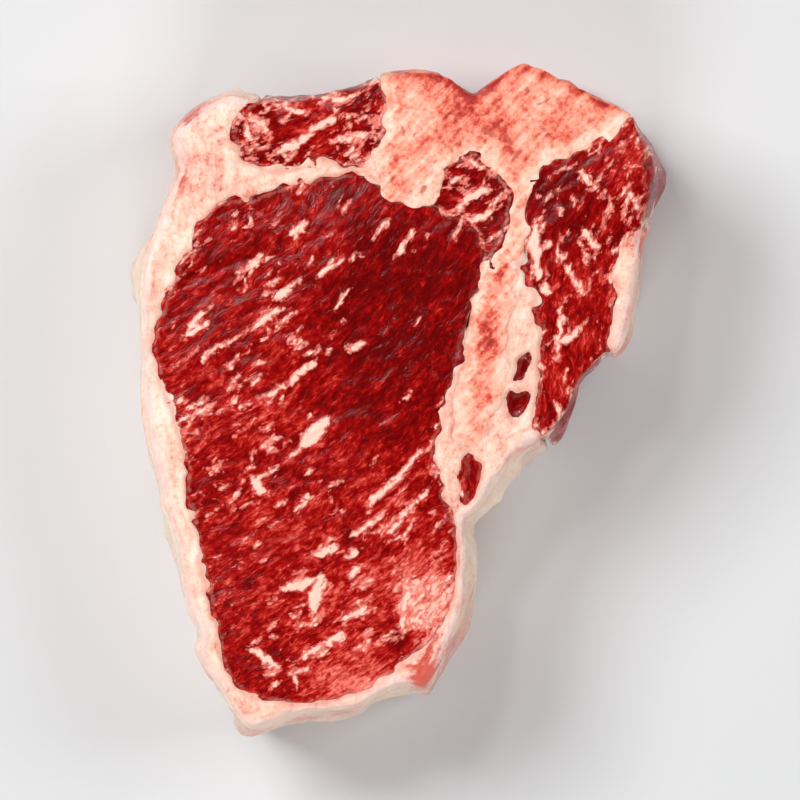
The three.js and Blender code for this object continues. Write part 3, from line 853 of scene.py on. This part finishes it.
def raw_fat():
    """Waxy raw fat: grains in layers on the cut, a creased skin on the outside."""
    material, put, finish, stored = new_finish("raw fat")
    place = stored["grain"]
    swayed = sways(put, place, 2.2, 3.0)
    lobule_place = per_mm(put, swayed, LOBULE)
    lobules = put("TexVoronoi", {"Vector": lobule_place, "Scale": 1.0}, feature="DISTANCE_TO_EDGE")
    grains = put("TexVoronoi", {"Vector": swayed, "Scale": 1 / GRAIN})
    clouds = put("TexNoise", {"Vector": place, "Scale": 0.24, "Detail": 5.0, "Roughness": 0.62})
    crumbs = put("TexNoise", {"Vector": place, "Scale": 1 / CRUMB, "Detail": 3.0, "Roughness": 0.6})
    along = put("SeparateXYZ", {"Vector": swayed})
    layer_place = put("CombineXYZ", {"X": along.outputs["X"], "Y": stored["skin"], "Z": along.outputs["Z"]})
    layers = stretched(put, layer_place, LAYER, 4.0)
    creases = stretched(put, swayed, CREASE, 4.0)

    tone = put("Math", {0: clouds, 1: 1.4, 2: stored["redness"]}, **TIMES_PLUS)
    tone = put("Math", {0: crumbs, 1: 1.0, 2: tone}, **TIMES_PLUS)
    tone = put("Math", {0: layers, 1: 1.1, 2: tone}, **TIMES_PLUS)
    tone = put("Math", {0: grains.outputs["Distance"], 1: 0.3, 2: tone}, **TIMES_PLUS)
    tone = put("Math", {0: tone, 1: 1.74}, operation="SUBTRACT")
    base = put("ValToRGB", {"Fac": tone}, FAT_TONES)
    film = rise(put, lobules, 0.07, 0.0, 0.16)
    lined = put("Mix", {"Factor": film, "A": base, "B": "#EBA08C"}, **COLOURS)

    # The cooler rim, juice from the lean, and spots of blood
    outer = put("Math", {0: layers, 1: 2.4, 2: stored["skin"]}, **TIMES_PLUS)
    outer = rise(put, outer, 3.1, 2.2, 0.75)
    rimmed = put("Mix", {"Factor": outer, "A": lined, "B": "#E8CFC8"}, **COLOURS)
    juicy = put("Math", {0: crumbs, 1: 0.8, 2: stored["seam"]}, **TIMES_PLUS)
    juicy = rise(put, juicy, 1.0, 0.3, 0.6)
    juiced = put("Mix", {"Factor": juicy, "A": rimmed, "B": "#EA8C7A"}, **COLOURS)
    blood = put("Math", {0: layers, 1: 0.8, 2: stored["redness"]}, **TIMES_PLUS)
    blood = put("Math", {0: crumbs, 1: 0.4, 2: blood}, **TIMES_PLUS)
    blood = rise(put, blood, 1.15, 1.4, 0.85)
    cut = put("Mix", {"Factor": blood, "A": juiced, "B": "#D4503F"}, **COLOURS)

    # The skin on the wall is clear in places and flushed in others
    wall = rise(put, stored["wall"], 0.5, 0.85)
    flushes = put("TexNoise", {"Vector": swayed, "Scale": 1 / FLUSH, "Detail": 4.0, "Roughness": 0.6})
    fading = {"Value": flushes, "From Min": 0.36, "From Max": 0.6, "To Min": 0.75, "To Max": 0.0}
    clear = put("MapRange", fading)
    papery = put("Mix", {"Factor": clear, "A": lined, "B": "#FFE3CC"}, **COLOURS)
    flush = rise(put, flushes, 0.48, 0.7, 0.55)
    flushed = put("Mix", {"Factor": flush, "A": papery, "B": "#DE8470"}, **COLOURS)
    thin = put("Math", {0: creases, 1: 5.0, 2: stored["seam"]}, **TIMES_PLUS)
    thin = rise(put, thin, 2.7, 1.9, 0.85)
    thinned = put("Mix", {"Factor": thin, "A": flushed, "B": "#C4473B"}, **COLOURS)
    colour = put("Mix", {"Factor": wall, "A": cut, "B": thinned}, **COLOURS)

    cut_height = put("Math", {0: grains.outputs["Distance"], 1: -0.7, 2: crumbs}, **TIMES_PLUS)
    cut_height = put("Math", {0: film, 1: -1.0, 2: cut_height}, **TIMES_PLUS)
    wall_height = put("Math", {0: creases, 1: 2.4, 2: cut_height}, **TIMES_PLUS)
    height = put("Mix", {"Factor": wall, "A": cut_height, "B": wall_height}, data_type="FLOAT")
    bump = put("Bump", {"Height": height, "Strength": 0.8, "Distance": 0.16 * MM})
    finish({
        "Base Color": colour, "Normal": bump, "Roughness": 0.38, "IOR": 1.44,
        "Subsurface Weight": 0.45, "Subsurface Radius": (1.0, 0.6, 0.45), "Subsurface Scale": 1.4 * MM,
        "Coat Weight": 0.3, "Coat Roughness": 0.18, "Coat IOR": 1.33,
    })
    return material


# %% [markdown]
# ### Sawn bone
# A sawn vertebra shows two kinds of bone: a pale, dense shell about a millimetre thick, and
# inside it a sponge filled with red marrow, over which the blade smears pale bone meal. The shell
# is missing where the backbone was split, so there the sponge runs out to the edge.

# %% Sawn bone
PORE = 0.62
SMEAR = (7.0, 0.7, 4.0)
BONE_TONES = [
    (0.0, "#FFDCC8"), (1.0, "#A81C14"), (0.28, "#FCC4AC"), (0.5, "#F5A48A"), (0.68, "#EC8268"),
    (0.85, "#D84A34"),
]


def sawn_bone():
    """Dense pale shell round marrow-filled sponge."""
    material, put, finish, stored = new_finish("sawn bone")
    grain = sways(put, stored["grain"], 0.8, 1.2)
    sponge = put("TexVoronoi", {"Vector": grain, "Scale": 1 / PORE})
    clouds = put("TexNoise", {"Vector": stored["grain"], "Scale": 0.3, "Detail": 5.0, "Roughness": 0.62})
    grit = put("TexNoise", {"Vector": stored["grain"], "Scale": 1.6, "Detail": 4.0, "Roughness": 0.65})
    smear_place = per_mm(put, stored["grain"], SMEAR)
    smears = put("TexNoise", {"Vector": smear_place, "Scale": 1.0, "Detail": 2.0})

    deep = put("Math", {0: grit, 1: 1.1, 2: stored["seam"]}, **TIMES_PLUS)
    inner = rise(put, deep, 1.1, 2.3)
    split = put("Math", {0: grit, 1: 1.0, 2: stored["skin"]}, **TIMES_PLUS)
    split = rise(put, split, 1.5, 0.5, 0.3)
    tone = put("Math", {0: clouds, 1: 1.4, 2: stored["redness"]}, **TIMES_PLUS)
    tone = put("Math", {0: grit, 1: 1.1, 2: tone}, **TIMES_PLUS)
    tone = put("Math", {0: smears, 1: -0.8, 2: tone}, **TIMES_PLUS)
    tone = put("Math", {0: inner, 1: 0.26, 2: tone}, **TIMES_PLUS)
    tone = put("Math", {0: split, 1: 1.0, 2: tone}, **TIMES_PLUS)
    tone = put("Math", {0: stored["wall"], 1: -0.12, 2: tone}, **TIMES_PLUS)
    tone = put("Math", {0: tone, 1: 0.7}, operation="SUBTRACT")
    base = put("ValToRGB", {"Fac": tone}, BONE_TONES)
    pores = rise(put, sponge, 0.4, 0.1)
    some = rise(put, clouds, 0.4, 0.62, 0.6)
    pores = put("Math", {0: pores, 1: some}, operation="MULTIPLY")
    pores = put("Math", {0: pores, 1: inner}, operation="MULTIPLY")
    pored = put("Mix", {"Factor": pores, "A": base, "B": "#D2503A"}, **COLOURS)
    cracks = rise(put, stored["fleck"], 0.15, -0.08, 0.65)
    colour = put("Mix", {"Factor": cracks, "A": pored, "B": "#B22E20"}, **COLOURS)

    height = put("Math", {0: pores, 1: -1.0, 2: grit}, **TIMES_PLUS)
    height = put("Math", {0: smears, 1: 0.8, 2: height}, **TIMES_PLUS)
    bump = put("Bump", {"Height": height, "Strength": 0.7, "Distance": 0.12 * MM})
    finish({
        "Base Color": colour, "Normal": bump, "Roughness": 0.5, "IOR": 1.45,
        "Subsurface Weight": 0.25, "Subsurface Radius": (1.0, 0.45, 0.3), "Subsurface Scale": 0.8 * MM,
        "Coat Weight": 0.1, "Coat Roughness": 0.3, "Coat IOR": 1.33,
    })
    return material


# %% Build all pieces
FINISHES = {"lean": raw_lean(), "fat": raw_fat(), "bone": sawn_bone()}


def store(piece, values):
    """Keeps values on a piece's points, for its finish to read."""
    for name, value in values.items():
        kind, field = ("FLOAT_VECTOR", "vector") if value.ndim == 2 else ("FLOAT", "value")
        attribute = piece.data.attributes.new(name, kind, "POINT")
        attribute.data.foreach_set(field, value.astype(np.float32).ravel())


for seed, (node, plan) in enumerate(PIECES.items(), start=101):
    points, quads = carve(node, plan["rounding"], plan["close"], plan["sink"])
    grain = grain_of(points, plan["grain"])
    flecks = by_hand(plan["strokes"]) + scatter(points, plan, seed)
    fleck = fleck_distance(points, flecks)
    normals = point_normals(points, quads)
    level = np.abs(normals[:, 2]) ** 2
    relief = RELIEF[plan["kind"]](points, grain, fleck, level)
    moved = points + normals * relief[:, None]
    moved[:, 2] = np.maximum(moved[:, 2], 0)
    piece = build_mesh(plan["name"], moved, quads)
    strayed = points[:, :2] + wander(points)
    store(piece, {
        "grain": grain,
        "fleck": fleck,
        "seam": distance_to(strayed, BORDERS[node][0]),
        "skin": distance_to(strayed, OUTSIDE),
        "wall": 1 - level,
        "richness": patches(points, *plan["richness"]),
        "redness": patches(points, *plan["redness"]),
        "cover": np.full(len(points), plan.get("cover", 0.0)),
    })
    piece.data.materials.append(FINISHES[plan["kind"]])
    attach(piece, "root")
    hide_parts(node)

# %% The camera
FRAME_SHARE = 0.83
FIELD = math.radians(3.0)
centre = (cad_low + cad_high) / 2
target = Vector((centre.x, centre.y, cad_high.z))
away = Vector((0.02, -0.006, 1.0)).normalized()
distance = (cad_high.y - cad_low.y) / FRAME_SHARE / 2 / math.tan(FIELD / 2)
camera_data = bpy.data.cameras.new("camera")
camera_data.sensor_width = 36
camera_data.lens = 18 / math.tan(FIELD / 2)
camera_data.clip_end = 20
camera = bpy.data.objects.new("camera", camera_data)
across = Vector((0, 1, 0)).cross(away).normalized()
upward = away.cross(across)
turn = Matrix((across, upward, away)).transposed().to_4x4()
camera.matrix_world = Matrix.Translation(target + away * distance) @ turn
bpy.context.scene.collection.objects.link(camera)
bpy.context.scene.camera = camera
bpy.context.scene.view_settings.view_transform = "Standard"

# %% Light and floor
floor_mesh = bpy.data.meshes.new("floor")
floor_mesh.from_pydata([(-3, -3, 0), (3, -3, 0), (3, 3, 0), (-3, 3, 0)], [], [(0, 1, 2, 3)])
floor = bpy.data.objects.new("floor", floor_mesh)
floor_material = bpy.data.materials.new("pale floor")
floor_material.use_nodes = True
floor_shader = floor_material.node_tree.nodes["Principled BSDF"]
floor_shader.inputs["Base Color"].default_value = linear("#D8D9DA")
floor_shader.inputs["Roughness"].default_value = 0.7
floor_mesh.materials.append(floor_material)
bpy.context.scene.collection.objects.link(floor)

world = bpy.data.worlds.new("studio")
world.use_nodes = True
sky = world.node_tree
direction = add(sky, "TexCoord").outputs["Generated"]
height = add(sky, "SeparateXYZ", {"Vector": direction}).outputs["Z"]
SKY = [(0.0, "#B0B0B0"), (1.0, "#0C0C0C"), (0.35, "#9C9C9C"), (0.7, "#181818")]
wire(sky, sky.nodes["Background"], {"Color": add(sky, "ValToRGB", {"Fac": height}, SKY), "Strength": 0.7})
bpy.context.scene.world = world


def soft_light(name, place, size, power):
    """A square light that faces the chop."""
    data = bpy.data.lights.new(name, "AREA")
    data.size = size
    data.energy = power
    light = bpy.data.objects.new(name, data)
    light.location = place
    light.rotation_euler = (-Vector(place)).to_track_quat("-Z", "Y").to_euler()
    bpy.context.scene.collection.objects.link(light)


soft_light("key", (-0.5, 0.36, 0.76), 0.4, 6.7)
soft_light("fill", (0.6, 0.13, 0.65), 0.4, 2.8)
soft_light("low fill", (-0.1, -0.62, 0.66), 0.4, 2.8)
soft_light("glint", (-0.22, 0.4, 1.05), 0.12, 1.5)
